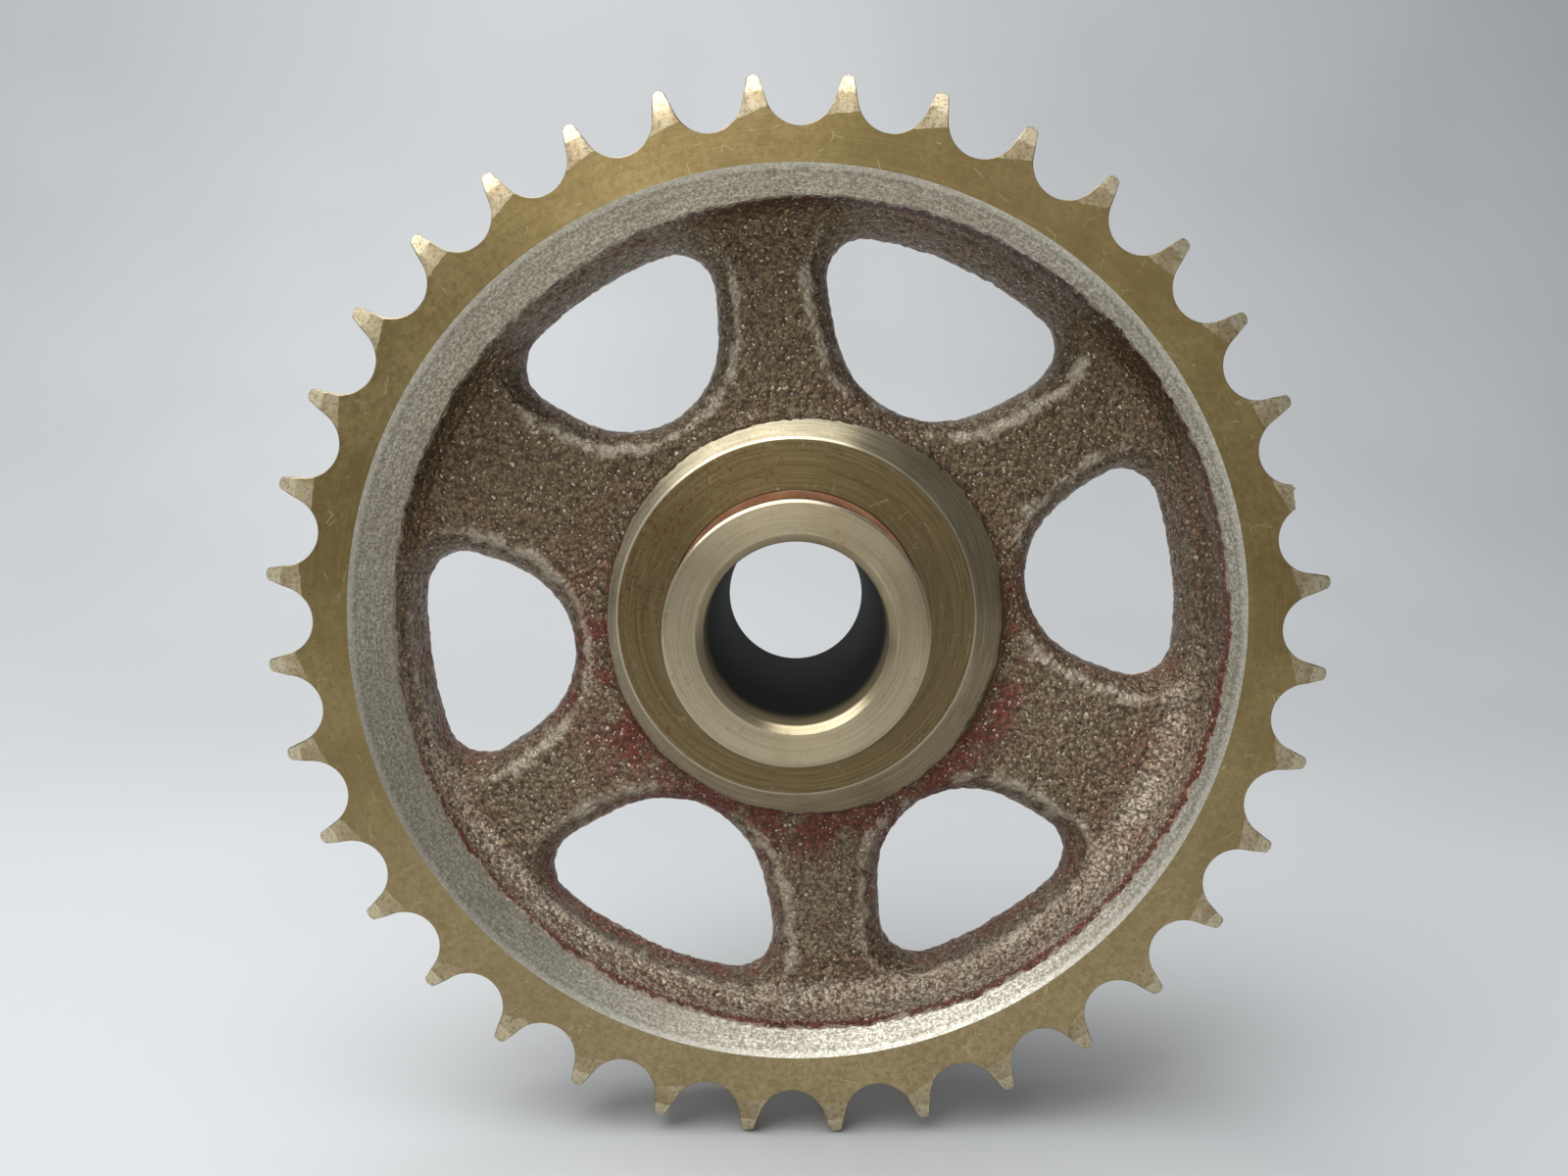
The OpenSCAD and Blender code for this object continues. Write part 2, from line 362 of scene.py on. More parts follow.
def cast_rust(n, patch, broad):
    """Where rust sits: in spots, round the hub, by the cone and in the lower windows."""
    spots = n.span(n.math("ADD", patch, n.math("MULTIPLY", broad, 0.8)), 0.86, 1.12)
    hub = n.math("MULTIPLY", n.span(n.radius, 0.0305, 0.0235), n.span(n.z, 0.016, -0.006))
    outer = n.math("MULTIPLY", n.span(n.radius, 0.0385, 0.0415), n.span(n.z, 0.010, -0.010))
    deep = n.math("MULTIPLY", n.span(n.y, 0.0062, 0.0080), n.span(n.z, 0.010, -0.020, 0.1, 0.55))
    deep = n.math("MULTIPLY", deep, n.span(n.y, 0.0110, 0.0098))
    near = n.math("ADD", n.math("MULTIPLY", hub, 0.95), n.math("MULTIPLY", outer, 0.25))
    near = n.math("MULTIPLY", n.math("ADD", near, deep), n.span(patch, 0.36, 0.60))
    return n.math("ADD", n.math("MULTIPLY", spots, 0.3), near, True)


def cast_wall(n, fine):
    """The dark red band on the casting just below the turned cone."""
    ragged = n.math("MULTIPLY", n.math("SUBTRACT", fine, 0.5), 0.0016)
    off_right = n.math("MULTIPLY", n.x, 0.0223)
    off_up = n.math("MULTIPLY", n.z, 0.0038)
    below = n.math("ADD", n.math("SUBTRACT", n.math("ADD", n.y, off_right), off_up), ragged)
    reach = n.span(n.z, 0.020, 0.036, 0.0012, 0.0018)
    wall = n.span(n.math("SUBTRACT", below, reach), 0.0004, -0.0003)
    side = n.span(n.math("SUBTRACT", n.x, n.math("MULTIPLY", n.z, 0.6)), -0.042, -0.026, 0.1, 0.9)
    return n.math("MULTIPLY", wall, side)


def cast_mark(n):
    """A thin scribed line beside the rim, upper left."""
    off_line = n.math("ABSOLUTE", n.math("SUBTRACT", n.radius, 0.0431))
    place_on = n.math("MULTIPLY", n.span(n.x, -0.024, -0.028), n.span(n.z, 0.006, 0.010))
    return n.math("MULTIPLY", n.span(off_line, 0.00018, 0.00006), place_on)


def cast_material():
    """Olive-brown foundry skin, glossy as if oiled, with rust by the hub and the cone. Its grains carry
    painted glints, its lower rim bead a painted highlight, its lips rubbed wear and a painted highlight,
    and its lower part is painted lighter.
    """
    n = Nodes("cast_skin", metallic=0.55, roughness=0.36)
    n.bsdf.inputs["IOR"].default_value = 1.5
    grain = n.voronoi(1800.0, "SMOOTH_F1")
    fine = n.noise(2600.0, 3.0, 0.7)
    broad = n.noise(45.0, 3.0, 0.6)
    patch = n.noise(260.0, 5.0, 0.7)
    pit = n.attribute("pit")
    front = n.span(n.y, 0.0095, 0.0075, 0.35, 1.0)
    # Convex window lips, more towards the front: painted paler as rubbed wear and as a painted highlight,
    # and made glossier.
    lip_wear_and_highlight = n.math("MULTIPLY", n.span(n.attribute("edge"), 0.34, 0.05), front)
    # Mask of the lower part of the casting, which is painted lighter: painted light from above.
    low = n.span(n.z, 0.012, -0.036)
    rusty = cast_rust(n, patch, broad)
    wall = cast_wall(n, fine)
    mark = cast_mark(n)
    # Painted highlight: the rim bead low down, below the windows, is painted pale where the light from
    # above shines on it.
    bead = n.math("MULTIPLY", n.span(n.radius, 0.0418, 0.0432), n.span(n.z, 0.004, -0.022))
    bead = n.math("MULTIPLY", bead, n.span(n.y, 0.0062, 0.0050))
    rust = n.mix(n.span(n.radius, 0.030, 0.036), linear(128, 48, 28), linear(142, 70, 40))
    band = n.mix(n.span(n.z, 0.0, 0.03), linear(124, 44, 34), linear(92, 52, 38))
    base = n.mix(n.span(broad, 0.35, 0.65), linear(130, 112, 84), linear(148, 130, 101))
    # Painted light: the lower part of the casting is painted lighter, where the light from above falls.
    base = n.mix(n.math("MULTIPLY", low, 0.4), base, linear(172, 158, 132))
    # Painted highlight on the lower rim bead.
    base = n.mix(n.math("MULTIPLY", bead, 0.75), base, linear(230, 214, 190))
    base = n.mix(n.math("MULTIPLY", rusty, 0.9), base, rust)
    base = n.mix(wall, base, band)
    base = n.mix(n.math("MULTIPLY", mark, 0.85), base, linear(82, 32, 22))
    base = n.mix(n.span(pit, 0.5, 0.95, 0.0, 0.6), base, linear(60, 40, 30))
    base = n.mix(n.span(fine, 0.44, 0.58, 0.72, 0.0), base, linear(58, 42, 30))
    # Painted glints: pale spots on the grains stand in for sparkles of light.
    base = n.mix(n.span(grain, 0.08, 0.24, 0.72, 0.0), base, linear(236, 226, 206))
    # Rubbed wear and painted highlight on the convex lips.
    base = n.mix(n.math("MULTIPLY", lip_wear_and_highlight, 0.5), base, linear(214, 204, 184))
    n.colour(base)
    stain = n.math("MAXIMUM", n.math("MAXIMUM", rusty, wall), mark)
    n.link(n.span(stain, 0.0, 0.9, 0.55, 0.2), n.bsdf.inputs["Metallic"])
    rough = n.math("ADD", n.span(fine, 0.3, 0.7, 0.40, 0.24), n.math("MULTIPLY", stain, 0.15))
    n.rough(n.math("SUBTRACT", rough, n.math("MULTIPLY", lip_wear_and_highlight, 0.1)))
    n.bump(grain, 1.0, 0.0003)
    n.bump(fine, 1.0, 0.00022)
    return n.mat


def face_material():
    """Toothed face: olive-brown tarnish over fine turning lines."""
    n = Nodes("toothed_face", metallic=0.9, roughness=0.42)
    rings = n.rings(16.0, 60.0)
    cloud = n.noise(90.0, 4.0, 0.6)
    mottle = n.noise(1700.0, 4.0, 0.75)
    speck = n.noise(3200.0, 3.0, 0.7)
    base = n.mix(n.span(cloud, 0.35, 0.68), linear(142, 122, 76), linear(166, 145, 98))
    # Painted light: the lower part of the toothed face is painted lighter, as light falls on it.
    base = n.mix(n.span(n.z, 0.0, -0.05, 0.0, 0.6), base, linear(176, 162, 130))
    base = n.mix(n.span(mottle, 0.35, 0.65, 0.0, 0.6), base, linear(122, 102, 62))
    base = n.mix(n.span(rings, 0.4, 0.6, 0.0, 0.16), base, linear(186, 170, 126))
    base = n.mix(n.span(speck, 0.64, 0.74, 0.0, 0.45), base, linear(96, 74, 46))
    base = n.mix(n.math("MULTIPLY", n.scratches(260.0, 0.012, 620.0), 0.7), base, linear(214, 204, 170))
    n.colour(base)
    n.rough(n.span(mottle, 0.35, 0.65, 0.5, 0.38))
    n.brushed(0.75)
    n.bump(rings, 0.12, 0.00004)
    n.bump(mottle, 0.15, 0.00005)
    return n.mat


def cone_material():
    """Turned cone inside the rim: pale grey, finely turned, with a grain of small scuffs and a painted
    highlight along its outer edge.
    """
    n = Nodes("turned_cone", metallic=0.95, roughness=0.36)
    rings = n.rings(11.0, 500.0)
    speck = n.noise(3000.0, 4.0, 0.75)
    cloud = n.noise(120.0, 3.0, 0.6)
    base = n.mix(n.span(speck, 0.38, 0.62), linear(156, 149, 132), linear(220, 215, 202))
    base = n.mix(n.span(cloud, 0.4, 0.65, 0.0, 0.2), base, linear(142, 133, 114))
    base = n.mix(n.span(rings, 0.44, 0.58, 0.0, 0.5), base, linear(128, 121, 106))
    # Painted highlight: a pale thin line along the cone's outer edge.
    base = n.mix(n.span(n.radius, 0.04705, 0.04725, 0.0, 0.4), base, linear(226, 222, 210))
    n.colour(base)
    n.rough(n.span(speck, 0.35, 0.65, 0.54, 0.40))
    n.brushed(0.5)
    n.bump(speck, 0.3, 0.00006)
    n.bump(rings, 0.25, 0.00006)
    return n.mat


def tooth_material():
    """Roller seats and flanks: worn, brownish steel grey."""
    n = Nodes("tooth_flanks", metallic=0.9, roughness=0.4)
    cloud = n.noise(400.0, 4.0, 0.65)
    speck = n.noise(1800.0, 3.0, 0.7)
    base = n.mix(n.span(cloud, 0.35, 0.65), linear(118, 102, 76), linear(166, 152, 122))
    base = n.mix(n.span(speck, 0.55, 0.7, 0.0, 0.5), base, linear(84, 66, 46))
    n.colour(base)
    n.rough(n.span(cloud, 0.3, 0.7, 0.34, 0.52))
    n.bump(speck, 0.25, 0.00008)
    return n.mat


def bevel_material():
    """Side bevel of the teeth: mottled brown beside the face, pale worn metal at the tips."""
    n = Nodes("tooth_bevel", metallic=0.85, roughness=0.5)
    speck = n.noise(2400.0, 4.0, 0.75)
    cloud = n.noise(330.0, 3.0, 0.6)
    border = n.math("ADD", n.radius, n.math("MULTIPLY", n.math("SUBTRACT", cloud, 0.5), 0.0016))
    base = n.mix(n.span(cloud, 0.36, 0.64), linear(168, 150, 116), linear(190, 176, 144))
    base = n.mix(n.span(border, 0.05470, 0.05490), base, linear(206, 194, 162))
    base = n.mix(n.span(speck, 0.48, 0.64, 0.0, 0.6), base, linear(112, 88, 58))
    n.colour(base)
    n.bump(speck, 0.35, 0.0001)
    return n.mat


def boss_material(name, low, high, rusty, polish=0.0):
    """Turned boss: rings of two tones, rust on its left and upper side, a few scratches, and a painted
    highlight along the edge of its face.
    """
    n = Nodes(name, metallic=0.92, roughness=0.42)
    rings = n.rings(15.0, 60.0)
    speck = n.noise(2400.0, 4.0, 0.75)
    cloud = n.noise(130.0, 4.0, 0.6)
    side = n.math("MULTIPLY", n.math("SUBTRACT", n.z, n.x), 4.0)
    base = n.mix(n.span(rings, 0.38, 0.62), low, high)
    rust = n.math("ADD", n.math("ADD", speck, n.math("MULTIPLY", cloud, 0.35)), side)
    base = n.mix(n.span(rust, 0.78, 0.9, 0.0, rusty), base, linear(112, 60, 36))
    # Painted highlight: a pale thin line along the edge of the boss face.
    line = n.span(n.math("ABSOLUTE", n.math("SUBTRACT", n.radius, 0.0200)), 0.00018, 0.00006)
    base = n.mix(n.math("MULTIPLY", line, 0.8), base, linear(226, 216, 190))
    base = n.mix(n.math("MULTIPLY", n.scratches(420.0, 0.018, 900.0), 0.5), base, linear(200, 190, 160))
    n.colour(base)
    n.rough(n.span(cloud, 0.35, 0.65, 0.48 - polish, 0.36 - polish))
    n.brushed(0.6)
    n.bump(rings, 0.2, 0.00004)
    n.bump(speck, 0.2, 0.00004)
    return n.mat


def sleeve_material():
    """Hub sleeve: pale, finely turned and slightly tarnished steel, with a painted highlight on its outer
    edge.
    """
    n = Nodes("turned_sleeve", metallic=0.95, roughness=0.34)
    rings = n.rings(13.0, 50.0)
    cloud = n.noise(110.0, 4.0, 0.6)
    speck = n.noise(1600.0, 4.0, 0.7)
    base = n.mix(n.span(rings, 0.35, 0.65), linear(166, 152, 122), linear(190, 177, 148))
    base = n.mix(n.span(cloud, 0.45, 0.75, 0.0, 0.5), base, linear(156, 138, 104))
    base = n.mix(n.span(speck, 0.58, 0.7, 0.0, 0.4), base, linear(126, 106, 78))
    # Painted highlight: the sleeve's outer edge and the outer wall behind it are painted pale.
    base = n.mix(n.span(n.radius, 0.01305, 0.0132, 0.0, 0.7), base, linear(226, 216, 192))
    base = n.mix(n.math("MULTIPLY", n.scratches(500.0, 0.02, 900.0), 0.5), base, linear(220, 212, 190))
    n.colour(base)
    n.rough(n.span(rings, 0.35, 0.65, 0.42, 0.3))
    n.brushed(0.8)
    n.bump(rings, 0.15, 0.00004)
    return n.mat


def bore_material():
    """Bore of the sleeve: pale near its front mouth, which is painted light, and black further in, which
    is painted shade.
    """
    n = Nodes("sleeve_bore", metallic=0.0, roughness=0.7)
    n.bsdf.inputs["Specular IOR Level"].default_value = 0.1
    cloud = n.noise(160.0, 4.0, 0.6)
    # Painted light near the front mouth, painted shade deeper in the bore.
    inside = n.math("ADD", n.y, n.math("MULTIPLY", n.math("SUBTRACT", cloud, 0.5), 0.004))
    base = n.mix(n.span(inside, -0.0085, -0.0040), linear(104, 92, 66), linear(22, 19, 15))
    n.colour(base)
    n.bump(n.rings(6.0), 0.1, 0.00004)
    return n.mat


def bush_material():
    """Tarnished bronze."""
    n = Nodes("bush_bronze", metallic=0.95, roughness=0.42)
    cloud = n.noise(300.0, 4.0, 0.65)
    base = n.mix(n.span(cloud, 0.35, 0.65), linear(140, 98, 80), linear(166, 122, 92))
    n.colour(base)
    n.rough(n.span(cloud, 0.3, 0.7, 0.36, 0.52))
    n.bump(n.rings(8.0), 0.2, 0.00005)
    return n.mat


CAST = cast_material()
FACE = face_material()
CONE = cone_material()
TOOTH = tooth_material()
BEVEL = bevel_material()
BOSS = boss_material("boss_face", linear(108, 93, 63), linear(134, 118, 84), 0.65)
BOSS_EDGE = boss_material("boss_chamfer", linear(146, 135, 108), linear(182, 173, 148), 0.3, 0.1)
SLEEVE = sleeve_material()
BORE = bore_material()
BUSH = bush_material()

# ---------------------------------------------------------------- the rough casting


def casting():
    """The casting as drawn, off the wheel's axis, with its six windows."""
    boss_inner = BUSH_R - 0.9
    top = FACE_Z + 0.8
    section = (
        [(boss_inner, BOSS_FRONT + 0.8), (BOSS_R, BOSS_FRONT + 0.8)]
        + arc(BOSS_R + BOSS_FILLET, WEB_HUB + BOSS_FILLET, BOSS_FILLET, 180, 270, 6)
        + arc(WALL_RUN - RIM_FILLET, WEB_RIM + RIM_FILLET, RIM_FILLET, 270, 360, 8)
        + [(WALL_R + 0.1, top), (SKIRT_R, top), (SKIRT_R + 0.7, FACE_Z - 0.5), (DRUM_R, FACE_Z - 0.5)]
        + arc(DRUM_R - 1.6, RIM_BACK + CAST_EDGE, CAST_EDGE, 0, -90, 5)
        + arc(BOSS_R + 3.0, RIM_BACK - REAR_FILLET, REAR_FILLET, 90, 180, 6)
        + arc(BOSS_R - 1.5, BOSS_BACK + CAST_EDGE, CAST_EDGE, 0, -90, 5)
        + [(boss_inner, BOSS_BACK)]
    )
    body = lathe("casting", section, 360, (CAST_X, CAST_Y), CAST)
    for k in range(3):
        for half in (0, 180):
            boolean(body, window_tool(k, WINDOW_TURN[k] + half), "DIFFERENCE")
    return body


def window_outline(k):
    """A window along +X: round inner end, bulging sides, round corners, concentric outer edge."""
    end_r, end_x = WINDOW_END[k], WINDOW_IN[k] + WINDOW_END[k]
    ha = math.radians(WINDOW_HALF[k])
    cx, cy = ((WINDOW_OUT - WINDOW_CORNER) * f(ha) for f in (math.cos, math.sin))
    reach = math.hypot(cx - end_x, cy)
    ux, uy = (cx - end_x) / reach, cy / reach
    to_end, to_corner = WINDOW_SIDE - end_r, WINDOW_SIDE - WINDOW_CORNER
    foot = (to_end ** 2 - to_corner ** 2 + reach ** 2) / (2 * reach)
    height = math.sqrt(to_end ** 2 - foot ** 2)
    sx, sy = end_x + ux * foot + uy * height, uy * foot - ux * height
    end_a = math.degrees(math.atan2(-sy, end_x - sx))
    corner_a = math.degrees(math.atan2(cy - sy, cx - sx))
    ha = WINDOW_HALF[k]
    return (arc(end_x, 0, end_r, end_a, 360 - end_a, 24)
            + arc(sx, -sy, WINDOW_SIDE, -end_a, -corner_a, 10)[1:-1]
            + arc(cx, -cy, WINDOW_CORNER, -corner_a, -ha, 12)
            + arc(0, 0, WINDOW_OUT, -ha, ha, 14)[1:-1]
            + arc(cx, cy, WINDOW_CORNER, ha, corner_a, 12)
            + arc(sx, sy, WINDOW_SIDE, corner_a, end_a, 10)[1:-1])


def web_height(x, y):
    """Front of the web, with the corner towards the rim, at a point."""
    r = math.hypot(x - CAST_X, y - CAST_Y)
    flat_in, flat_out = BOSS_R + BOSS_FILLET, WALL_RUN - RIM_FILLET
    t = min(max((r - flat_in) / (flat_out - flat_in), 0.0), 1.0)
    z = WEB_HUB + (WEB_RIM - WEB_HUB) * t
    over = min(max(r - flat_out, 0.0), RIM_FILLET * 0.97)
    return z + RIM_FILLET - math.sqrt(RIM_FILLET ** 2 - over ** 2)


def core_room(outline, normals):
    """How far each point of a window's outline flares, which the rim's wall limits."""
    room = []
    for p, m in zip(outline, normals):
        q = p - Vector((FLARE_X, FLARE_Y))
        lean = m.dot(q.normalized())
        free = FLARE if lean < 0.15 else min(FLARE, max(0.1, (FLARE_OUT - q.length) / lean))
        room.append(free)
    n = len(room)
    for _ in range(6):
        room = [(room[i - 1] + room[i] * 2 + room[(i + 1) % n]) / 4 for i in range(n)]
    return room


def window_tool(k, turn):
    """Core of one window: its walls taper out towards the front, which the sand needs."""
    a = math.radians(turn)
    outline = [Vector((CORE_X + x * math.cos(a) - y * math.sin(a), x * math.sin(a) + y * math.cos(a)))
               for x, y in window_outline(k)]
    n = len(outline)
    centre = sum(outline, Vector((0, 0))) / n
    normals = []
    for i, p in enumerate(outline):
        d = outline[(i + 1) % n] - outline[i - 1]
        m = Vector((d.y, -d.x)).normalized()
        normals.append(-m if m.dot(p - centre) < 0 else m)
    room = core_room(outline, normals)
    rings = [[(*(p + m * BACK_ROUND), BEHIND) for p, m in zip(outline, normals)]]
    for step in range(5):
        f = math.radians(90 - 22.5 * step)
        grow, rise = BACK_ROUND * (1 - math.cos(f)), BACK_ROUND * (1 - math.sin(f))
        rings.append([(*(p + m * grow), RIM_BACK + rise) for p, m in zip(outline, normals)])
    foot = RIM_BACK + BACK_ROUND
    for t, out in ((0.35, 0.12), (0.6, 0.35), (0.8, 0.62), (0.94, 0.85), (1.0, 1.0)):
        ring = []
        for p, m, free in zip(outline, normals, room):
            q = p + m * free * out
            ring.append((*q, foot + (web_height(*q) - foot) * t))
        rings.append(ring)
    rings.append([(*(p + m * free), ABOVE) for p, m, free in zip(outline, normals, room)])
    return prism("window", rings, CAST)


def skin_push(v):
    """How far the skin stands out at a point: grit, lumps and a slow swell."""
    grit = noise.noise(v * 1.15) + 0.6 * noise.noise(v * 2.1)
    lump = noise.noise(v * 0.22 + Vector((7.0, 3.0, 1.0)))
    swell = noise.noise(v * 0.07 + Vector((2.0, 9.0, 4.0)))
    bead = min(max((math.hypot(v.x, v.y) - 40.5) / 2.0, 0.0), 1.0)
    return (0.15 + 0.02 * bead) * grit + 0.12 * lump + 0.12 * swell


def vertex_normals(mesh):
    normal = np.empty(len(mesh.vertices) * 3)
    mesh.vertex_normals.foreach_get("vector", normal)
    return normal.reshape(-1, 3)


def roughen(body):
    """Remeshes the casting finely, rounds all its edges and gives it the sand mould's skin."""
    mod = body.modifiers.new("remesh", "REMESH")
    mod.mode = "VOXEL"
    mod.voxel_size = VOXEL
    apply_modifiers(body)
    mod = body.modifiers.new("round", "SMOOTH")
    mod.factor = 0.5
    mod.iterations = 4
    apply_modifiers(body)
    co = coords(body)
    push = np.array([skin_push(Vector(p)) for p in co])
    co += vertex_normals(body.data) * push[:, None]
    set_coords(body, co)
    mod = body.modifiers.new("thin", "DECIMATE")
    mod.ratio = 0.66
    apply_modifiers(body)


# ---------------------------------------------------------------- cut surfaces


def bevel_move(r, turn, across, spot, side):
    """How far one point of a bevel's border wanders along the radius."""
    tooth = math.floor(turn / PITCH)
    own = noise.noise(Vector((tooth * 3.7, side, r)))
    ragged = noise.noise(Vector((spot[0] * 2.2, spot[1] * 2.2, side)))
    if r > STEP_R - 0.1:
        return 0.25 * own * across + 0.12 * own + 0.14 * ragged
    if tooth == BROKEN:
        return 0.35 * across - 0.3
    return (0.28 + 0.35 * own) * across + 0.3 * own + 0.16 * ragged


def tooth_blank():
    """Disc for the teeth. The borders of its bevels wander, as chain and wear left them."""
    inner = CONE_R - 0.55
    front = list(BEVEL_PROFILE)
    points = [(inner, -FACE_Z)] + [(r, -z) for r, z in front] + front[::-1] + [(inner, FACE_Z)]
    of = [0, 1, 1, 1, 2, 1, 1, 1, 0, 0]
    obj = lathe("blank", points, STEPS, slots={"materials": [FACE, BEVEL, TOOTH], "of": of})
    co = coords(obj)
    for p in co:
        r = math.hypot(p[0], p[1])
        if abs(r - BEVEL_R) > 0.01 and abs(r - STEP_R) > 0.01:
            continue
        turn = math.degrees(math.atan2(p[1], p[0])) - GAP_TURN
        across = max(-1.7, min(1.7, math.radians(PITCH / 2 - turn % PITCH) * r))
        move = bevel_move(r, turn, across, p, 40.0 if p[2] > 0 else 80.0)
        p[:2] *= (r + move) / r
    set_coords(obj, co)
    return obj


def blank_height(r):
    return float(np.interp(r, *zip(*BEVEL_PROFILE)))


def turning():
    """The cone and the clear space in front of the web, down to just above the boss."""
    e = WEAR_EDGE
    clear, face, low = SKIRT_R + 2.7, FACE_Z - 0.002, FACE_Z - CONE_DEPTH
    points = [(0.0, ABOVE), (clear, ABOVE), (clear, face), (CONE_R + e, face),
              (CONE_R - e, FACE_Z - e * 1.6), (CONE_IN, low), (0.0, low)]
    of = [0, 0, 0, 1, 1, 1, 0]
    return lathe("cone_cut", points, STEPS, slots={"materials": [FACE, CONE], "of": of})


def boss_turning():
    """The boss's face, and the slope outside it down to the casting."""
    e = WEAR_EDGE
    low = BOSS_FRONT - (BOSS_CLEAR - BOSS_FACE_R) * BOSS_SLOPE
    points = [(0.0, BOSS_FRONT), (BOSS_FACE_R - e, BOSS_FRONT), (BOSS_FACE_R + e, BOSS_FRONT - 1.4 * e),
              (BOSS_CLEAR, low), (BOSS_CLEAR, FACE_Z), (0.0, FACE_Z)]
    of = [0, 1, 1, 1, 0, 0]
    return lathe("boss_cut", points, STEPS, slots={"materials": [BOSS, BOSS_EDGE], "of": of})


def bush_bore():
    """Bore of the boss, with its two mouths broken."""
    e, out = BORE_CHAMFER, BUSH_R + 3
    back = BOSS_BACK + 0.02
    points = [(0.0, BOSS_BACK - 3), (out, BOSS_BACK - 3), (out, back), (BUSH_R + e, back),
              (BUSH_R, BOSS_BACK + e), (BUSH_R, BOSS_FRONT - 0.1), (BUSH_R + 0.1, BOSS_FRONT),
              (out, BOSS_FRONT + 3), (0.0, BOSS_FRONT + 3)]
    return lathe("bore_cut", points, 360, material=BOSS)


def gap_outline():
    """Points round one roller gap, open outwards, with the round tips of the teeth beside it."""
    seat = ROOT_R + SEAT_R
    half = math.radians(SEAT_HALF)
    flank_x, flank_y = SEAT_R * math.sin(half), seat - SEAT_R * math.cos(half)
    round_y = TIP_R * math.cos(math.radians(PITCH / 2)) - TIP_ROUND
    round_x = flank_x + (round_y - flank_y) / math.tan(half) + TIP_ROUND
    flank = [(flank_x + (y - flank_y) / math.tan(half), y) for y in np.linspace(round_y, flank_y, 4)[1:-1]]
    right = [(round_x, TIP_R + 1.2)] + arc(round_x, round_y, TIP_ROUND, 90, 180, 5) + flank
    seat_points = arc(0, seat, SEAT_R, SEAT_HALF - 90, -90 - SEAT_HALF, 24)
    return [Vector(p) for p in right + seat_points + [(-x, y) for x, y in right[::-1]]]


def gap_cutter(k, rng):
    """One roller gap with worn, broken edges where it meets the toothed faces."""
    outline = gap_outline()
    n = len(outline)
    normals = []
    for i in range(n):
        d = outline[(i + 1) % n] - outline[i - 1] if 0 < i < n - 1 else Vector((1, 0))
        normals.append(Vector((-d.y, d.x)).normalized())
    a = math.radians(GAP_TURN - 90 + PITCH * k)
    wear = 0.05 + 0.06 * rng.random()
    sides = []
    for side in (-1, 1):
        for grow, drop in ((wear + 0.3, None), (wear + 0.3, -0.3), (wear, 0.0), (0.0, wear)):
            ring = []
            for p, m in zip(outline, normals):
                q = p + m * grow
                z = ABOVE if drop is None else blank_height(min(q.length, TIP_R)) - drop
                ring.append((q.x * math.cos(a) - q.y * math.sin(a),
                             q.x * math.sin(a) + q.y * math.cos(a), side * z))
            sides.append(ring)
    return prism(f"gap{k}", sides[:4] + sides[:3:-1], TOOTH)


def broken_tip():
    """What is missing of the broken tooth: a slightly slanting, finely ragged break."""
    a = math.radians(GAP_TURN + PITCH / 2)
    half_width, out = 3.4, TIP_R + 3.1
    edge = [(BREAK_R + 0.12 * y + 0.24 * math.exp(-((y - 0.8) / 0.15) ** 2)
             + 0.04 * math.sin(y * 9.0) + 0.03 * math.sin(y * 23.0 + 1.0), y)
            for y in np.linspace(-half_width, half_width, 60)]
    rings = []
    for z in (-ABOVE, -1.0, 1.2, ABOVE):
        ring = [(x + 0.08 * (z - FACE_Z) + 0.05 * math.sin(z * 3 + y * 4), y) for x, y in edge]
        ring += [(out, half_width), (out, -half_width)]
        rings.append([(x * math.cos(a) - y * math.sin(a), x * math.sin(a) + y * math.cos(a), z)
                      for x, y in ring])
    return prism("break", rings, TOOTH)


def build_wheel():
    """Cuts come in the order of the real work: turning, boring, then the gaps."""
    body = casting()
    roughen(body)
    boolean(body, tooth_blank(), "UNION")
    for tool in (turning(), boss_turning(), bush_bore()):
        boolean(body, tool, "DIFFERENCE")
    rng = np.random.default_rng(5)
    gaps = [gap_cutter(k, rng) for k in range(TEETH)]
    for part in (gaps[0::2], gaps[1::2]):
        boolean(body, join(part), "DIFFERENCE")
    boolean(body, broken_tip(), "DIFFERENCE")
    return body


def join(objs):
    """One object from several that don't touch."""
    verts, faces = [], []
    for o in objs:
        base = len(verts)
        verts += [tuple(v.co) for v in o.data.vertices]
        faces += [[base + i for i in p.vertices] for p in o.data.polygons]
        mat = o.data.materials[0]
        bpy.data.objects.remove(o)
    return new_object("joined", verts, faces, mat)


def sharpen_borders(mesh):
    """Keeps the shading of each cut surface apart from its neighbours'."""
    bm = bmesh.new()
    bm.from_mesh(mesh)
    for e in bm.edges:
        if len({f.material_index for f in e.link_faces}) > 1:
            e.smooth = False
    bm.to_mesh(mesh)
    bm.free()


def place(obj, name, body, node, angle=30):
    """Turns a shape from the local millimetre axes into the CAD frame."""
    co = coords(obj)
    set_coords(obj, np.stack([co[:, 0], -co[:, 2], co[:, 1]], 1) * MM)
    obj.name = obj.data.name = name
    obj.data.shade_smooth()
    obj.data.set_sharp_from_angle(angle=math.radians(angle))
    sharpen_borders(obj.data)
    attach(obj, body)
    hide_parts(node)


